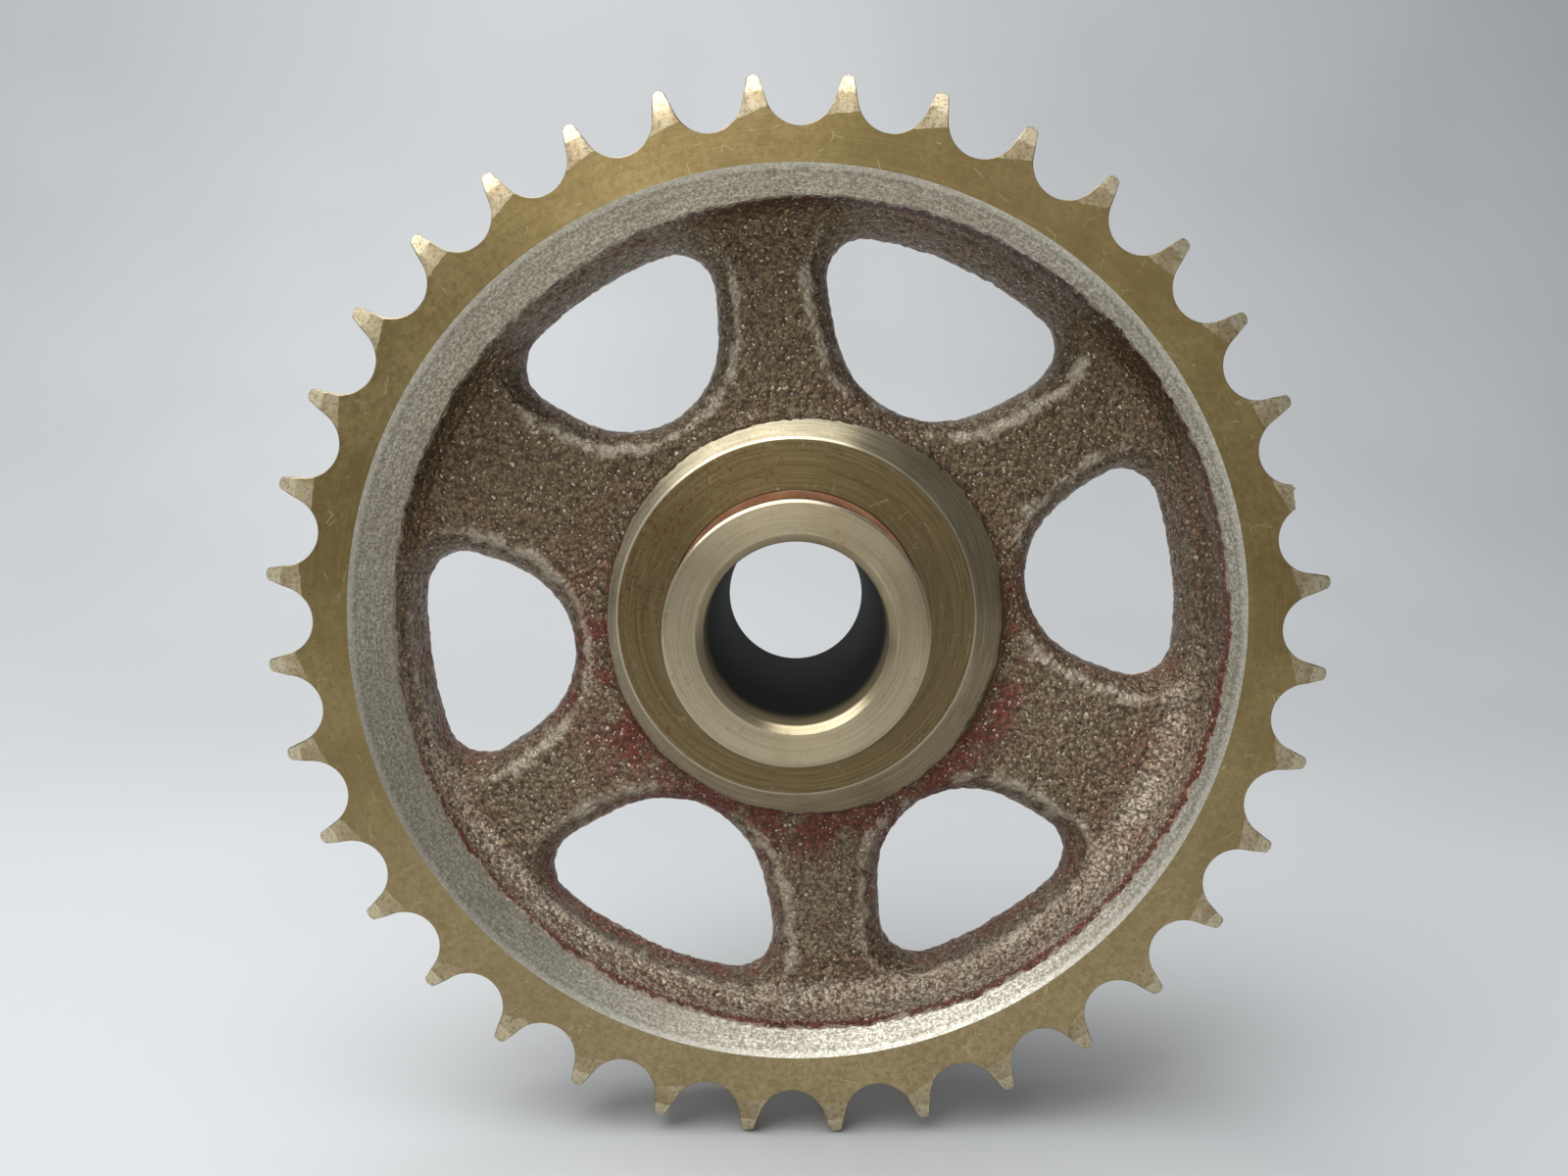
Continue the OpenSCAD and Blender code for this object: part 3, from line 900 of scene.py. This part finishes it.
def mark_pits(obj):
    """Stores how hollow the skin is at each point: its small pits, and its larger edges."""
    mesh = obj.data
    co = coords(obj)
    edges = np.empty(len(mesh.edges) * 2, np.int32)
    mesh.edges.foreach_get("vertices", edges)
    a, b = edges.reshape(-1, 2).T
    count = np.bincount(a, minlength=len(co)) + np.bincount(b, minlength=len(co))
    count = np.maximum(count, 1)

    def spread(values):
        """Mean over each point's neighbours."""
        return np.stack([(np.bincount(a, v[b], len(co)) + np.bincount(b, v[a], len(co))) / count
                         for v in values.T], 1)

    hollow = ((spread(co) - co) * vertex_normals(mesh)).sum(1)[:, None]
    wide = hollow
    for _ in range(3):
        wide = spread(wide)
    hollow = (hollow + spread(hollow)) / 2 - wide
    for name, value, scale in (("pit", hollow, 0.035), ("edge", wide, 0.03)):
        layer = mesh.attributes.new(name, "FLOAT", "POINT")
        layer.data.foreach_set("value", np.clip(0.5 + value[:, 0] / scale / 2, 0, 1).astype(np.float32))


wheel = build_wheel()
mark_pits(wheel)
bpy.context.view_layer.update()
place(wheel, "wheel_cast_and_cut", "wheel", "sprocket_wheel", 38)

# ---------------------------------------------------------------- sleeve and bushes


def sleeve():
    """Plain tube with a low collar between the bushes."""
    outer, bore, edge, mouth = SLEEVE_R, SLEEVE_BORE, 0.3, 0.8
    middle = (BOSS_FRONT + BOSS_BACK) / 2
    back_collar, front_collar = middle - 0.9, middle + 0.9
    points = [(bore, SLEEVE_BACK + mouth), (bore + mouth, SLEEVE_BACK), (outer - edge, SLEEVE_BACK),
              (outer, SLEEVE_BACK + edge), (outer, back_collar), (COLLAR_R, back_collar),
              (COLLAR_R, front_collar), (outer, front_collar), (outer, SLEEVE_FRONT - edge),
              (outer - edge, SLEEVE_FRONT), (bore + mouth, SLEEVE_FRONT), (bore, SLEEVE_FRONT - mouth)]
    rounded = turned_profile(points, {i: 0.12 for i in (0, 1, 2, 3, 8, 9, 10, 11)})
    of = [0] * (len(rounded) - 1) + [1]
    obj = lathe("sleeve", rounded, TURNED_STEPS, slots={"materials": [SLEEVE, BORE], "of": of})
    place(obj, "sleeve_turned", "sleeve", "hub_sleeve", 40)


def bush(low, high, name, node):
    """One bush, pressed into the boss."""
    edge, out = 0.15, BUSH_R - 0.03
    points = [(BUSH_IN, low + edge), (BUSH_IN + edge, low), (out, low),
              (out, high), (BUSH_IN + edge, high), (BUSH_IN, high - edge)]
    rounded = turned_profile(points, {i: 0.05 for i in range(6)}, 2)
    place(lathe(name, rounded, TURNED_STEPS, material=BUSH), name, "wheel", node, 40)


sleeve()
bush(BOSS_FRONT - BUSH_LONG, BOSS_FRONT, "bush_front_ring", "front_bush")
bush(BOSS_BACK, BOSS_BACK + BUSH_LONG, "bush_rear_ring", "rear_bush")

# ---------------------------------------------------------------- stage, light, camera


def stage():
    """Pale floor that rises into a wall behind the part."""
    floor_z = float(cad_low[2]) - 0.00005
    mat = Nodes("pale_floor", metallic=0.0, roughness=0.6)
    cloud = mat.span(mat.noise(6.0, 2.0), 0.3, 0.7)
    mat.colour(mat.mix(cloud, (0.47, 0.475, 0.48), (0.51, 0.515, 0.52)))
    half, front, back, rise, steps = 1.6, -1.2, 0.55, 0.35, 16
    profile = [(front, floor_z)]
    for i in range(steps + 1):
        a = math.radians(90 * i / steps)
        profile.append((back - rise + rise * math.sin(a), floor_z + rise * (1 - math.cos(a))))
    profile.append((back, floor_z + 1.4))
    verts = [(x, y, z) for y, z in profile for x in (-half, half)]
    faces = [[2 * i, 2 * i + 1, 2 * i + 3, 2 * i + 2] for i in range(len(profile) - 1)]
    obj = new_object("floor", verts, faces, mat.mat)
    obj.data.shade_smooth()


def area(name, place_at, size, power, colour=(1, 1, 1)):
    """Soft rectangular light, turned to the part."""
    data = bpy.data.lights.new(name, "AREA")
    data.shape = "RECTANGLE"
    data.size, data.size_y = size
    data.energy = power
    data.color = colour
    obj = bpy.data.objects.new(name, data)
    obj.location = place_at
    obj.rotation_euler = (-Vector(place_at)).to_track_quat("-Z", "Y").to_euler()
    bpy.context.scene.collection.objects.link(obj)


def surroundings():
    """Even, faintly blue light from all round."""
    world = bpy.data.worlds.new("soft")
    world.use_nodes = True
    background = world.node_tree.nodes["Background"]
    background.inputs["Color"].default_value = (0.80, 0.84, 0.88, 1)
    background.inputs["Strength"].default_value = 0.24
    bpy.context.scene.world = world


def photo_camera():
    """The camera where the photo was taken from, in front of the toothed face."""
    data = bpy.data.cameras.new("camera")
    data.lens = 26.14
    data.sensor_width = 36.0
    data.clip_start = 0.005
    obj = bpy.data.objects.new("camera", data)
    right = Vector((1.0, 0.0092, -0.0008)).normalized()
    look = Vector((-0.0092, 0.9963, -0.0848)).normalized()
    up = right.cross(look).normalized()
    turn = Matrix((right, up, -look)).transposed().to_4x4()
    obj.matrix_world = Matrix.Translation(Vector((-0.16, -122.1, 14.1)) * MM) @ turn
    bpy.context.scene.collection.objects.link(obj)
    bpy.context.scene.camera = obj


stage()
area("sky", (-0.20, -0.12, 0.60), (0.8, 0.7), 8.5, (0.97, 0.99, 1.0))
area("left_window", (-0.75, -0.35, 0.30), (0.5, 0.6), 0.6)
area("front", (0.10, -0.9, 0.30), (0.8, 0.5), 1.0, (1.0, 0.98, 0.95))
surroundings()
photo_camera()
bpy.context.scene.view_settings.view_transform = "Standard"
